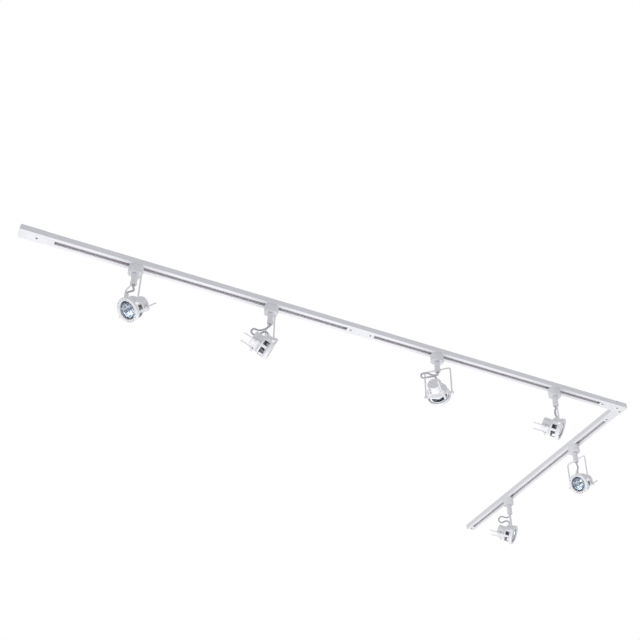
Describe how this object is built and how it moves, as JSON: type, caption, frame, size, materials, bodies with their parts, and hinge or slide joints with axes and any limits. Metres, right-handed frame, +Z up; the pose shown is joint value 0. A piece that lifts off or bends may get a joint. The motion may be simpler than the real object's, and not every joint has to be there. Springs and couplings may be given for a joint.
{
  "type": "track lighting kit",
  "caption": "L-shaped ceiling track in white with adjustable reflector spotlights that slide, swivel and tilt on bent-rod yokes.",
  "frame": {"origin": "on the ceiling face of the corner connector, where the centre lines of the two arms cross", "axes": "+Z up into the ceiling, long arm along -X, short arm along +Y"},
  "size_m": [2.1809, 1.1036, 0.2172],
  "materials": {
    "track_white": "satin white powder coat on aluminium",
    "moulded_white": "satin moulded polycarbonate",
    "spot_white": "fine textured white paint on cast metal",
    "liner_grey": "extruded insulating liner",
    "cable_sleeve": "silicone sleeve, satin",
    "lamp_glass": "facetted reflector lamp behind clear glass"
  },
  "bodies": {
    "track": {"long_arm_track_inner": "track_white", "long_arm_track_outer": "track_white", "short_arm_track": "track_white", "long_arm_liner_inner": "liner_grey", "long_arm_liner_outer": "liner_grey", "short_arm_liner": "liner_grey", "live_end": "moulded_white", "straight_joiner": "moulded_white", "corner_connector": "moulded_white", "end_cap": "moulded_white"},
    "spot1_slider": {"spot1_adapter_housing": "moulded_white", "spot1_contact_neck": "moulded_white"},
    "spot1_swivel": {"spot1_stem": "spot_white", "spot1_yoke": "spot_white", "spot1_cable": "cable_sleeve"},
    "spot1_head": {"spot1_front_ring": "spot_white", "spot1_lamp_housing": "spot_white", "spot1_gu10_lamp": "lamp_glass"},
    "spot2_slider": {"spot2_adapter_housing": "moulded_white", "spot2_contact_neck": "moulded_white"},
    "spot2_swivel": {"spot2_stem": "spot_white", "spot2_yoke": "spot_white", "spot2_cable": "cable_sleeve"},
    "spot2_head": {"spot2_front_ring": "spot_white", "spot2_lamp_housing": "spot_white", "spot2_gu10_lamp": "lamp_glass"},
    "spot3_slider": {"spot3_adapter_housing": "moulded_white", "spot3_contact_neck": "moulded_white"},
    "spot3_swivel": {"spot3_stem": "spot_white", "spot3_yoke": "spot_white", "spot3_cable": "cable_sleeve"},
    "spot3_head": {"spot3_front_ring": "spot_white", "spot3_lamp_housing": "spot_white", "spot3_gu10_lamp": "lamp_glass"},
    "spot4_slider": {"spot4_adapter_housing": "moulded_white", "spot4_contact_neck": "moulded_white"},
    "spot4_swivel": {"spot4_stem": "spot_white", "spot4_yoke": "spot_white", "spot4_cable": "cable_sleeve"},
    "spot4_head": {"spot4_front_ring": "spot_white", "spot4_lamp_housing": "spot_white", "spot4_gu10_lamp": "lamp_glass"},
    "spot5_slider": {"spot5_adapter_housing": "moulded_white", "spot5_contact_neck": "moulded_white"},
    "spot5_swivel": {"spot5_stem": "spot_white", "spot5_yoke": "spot_white", "spot5_cable": "cable_sleeve"},
    "spot5_head": {"spot5_front_ring": "spot_white", "spot5_lamp_housing": "spot_white", "spot5_gu10_lamp": "lamp_glass"},
    "spot6_slider": {"spot6_adapter_housing": "moulded_white", "spot6_contact_neck": "moulded_white"},
    "spot6_swivel": {"spot6_stem": "spot_white", "spot6_yoke": "spot_white", "spot6_cable": "cable_sleeve"},
    "spot6_head": {"spot6_front_ring": "spot_white", "spot6_lamp_housing": "spot_white", "spot6_gu10_lamp": "lamp_glass"}
  },
  "joints": [
    {"name": "spot1_slide", "type": "slide", "parent": "track", "child": "spot1_slider", "axis": [1, 0, 0], "range_m": [-0.2, 0.2]},
    {"name": "spot1_pan", "type": "hinge", "parent": "spot1_slider", "child": "spot1_swivel", "pos_m": [-1.758, 0, -0.0464], "axis": [0, 0, 1], "range_deg": [-170, 170]},
    {"name": "spot1_tilt", "type": "hinge", "parent": "spot1_swivel", "child": "spot1_head", "pos_m": [-1.758, 0, -0.178], "axis": [0.2588, -0.9659, 0], "range_deg": [-78, 12], "deforming": ["spot1_cable"]},
    {"name": "spot2_slide", "type": "slide", "parent": "track", "child": "spot2_slider", "axis": [1, 0, 0], "range_m": [-0.2, 0.2]},
    {"name": "spot2_pan", "type": "hinge", "parent": "spot2_slider", "child": "spot2_swivel", "pos_m": [-1.332, 0, -0.0464], "axis": [0, 0, 1], "range_deg": [-170, 170]},
    {"name": "spot2_tilt", "type": "hinge", "parent": "spot2_swivel", "child": "spot2_head", "pos_m": [-1.332, 0, -0.178], "axis": [0.0523, 0.9986, 0], "range_deg": [-56, 34], "deforming": ["spot2_cable"]},
    {"name": "spot3_slide", "type": "slide", "parent": "track", "child": "spot3_slider", "axis": [1, 0, 0], "range_m": [-0.2, 0.2]},
    {"name": "spot3_pan", "type": "hinge", "parent": "spot3_slider", "child": "spot3_swivel", "pos_m": [-0.747, 0, -0.0464], "axis": [0, 0, 1], "range_deg": [-170, 170]},
    {"name": "spot3_tilt", "type": "hinge", "parent": "spot3_swivel", "child": "spot3_head", "pos_m": [-0.747, 0, -0.178], "axis": [-0.7071, 0.7071, 0], "range_deg": [-40, 50], "deforming": ["spot3_cable"]},
    {"name": "spot4_slide", "type": "slide", "parent": "track", "child": "spot4_slider", "axis": [1, 0, 0], "range_m": [-0.2, 0.14]},
    {"name": "spot4_pan", "type": "hinge", "parent": "spot4_slider", "child": "spot4_swivel", "pos_m": [-0.283, 0, -0.0464], "axis": [0, 0, 1], "range_deg": [-170, 170]},
    {"name": "spot4_tilt", "type": "hinge", "parent": "spot4_swivel", "child": "spot4_head", "pos_m": [-0.283, 0, -0.178], "axis": [0.5592, 0.829, 0], "range_deg": [-58, 32], "deforming": ["spot4_cable"]},
    {"name": "spot5_slide", "type": "slide", "parent": "track", "child": "spot5_slider", "axis": [0, 1, 0], "range_m": [-0.14, 0.2]},
    {"name": "spot5_pan", "type": "hinge", "parent": "spot5_slider", "child": "spot5_swivel", "pos_m": [0, 0.277, -0.0464], "axis": [0, 0, 1], "range_deg": [-170, 170]},
    {"name": "spot5_tilt", "type": "hinge", "parent": "spot5_swivel", "child": "spot5_head", "pos_m": [0, 0.277, -0.178], "axis": [0.1736, -0.9848, 0], "range_deg": [-63, 27], "deforming": ["spot5_cable"]},
    {"name": "spot6_slide", "type": "slide", "parent": "track", "child": "spot6_slider", "axis": [0, 1, 0], "range_m": [-0.2, 0.2]},
    {"name": "spot6_pan", "type": "hinge", "parent": "spot6_slider", "child": "spot6_swivel", "pos_m": [0, 0.728, -0.0464], "axis": [0, 0, 1], "range_deg": [-170, 170]},
    {"name": "spot6_tilt", "type": "hinge", "parent": "spot6_swivel", "child": "spot6_head", "pos_m": [0, 0.728, -0.178], "axis": [0.6157, 0.788, 0], "range_deg": [-56, 34], "deforming": ["spot6_cable"]}
  ]
}
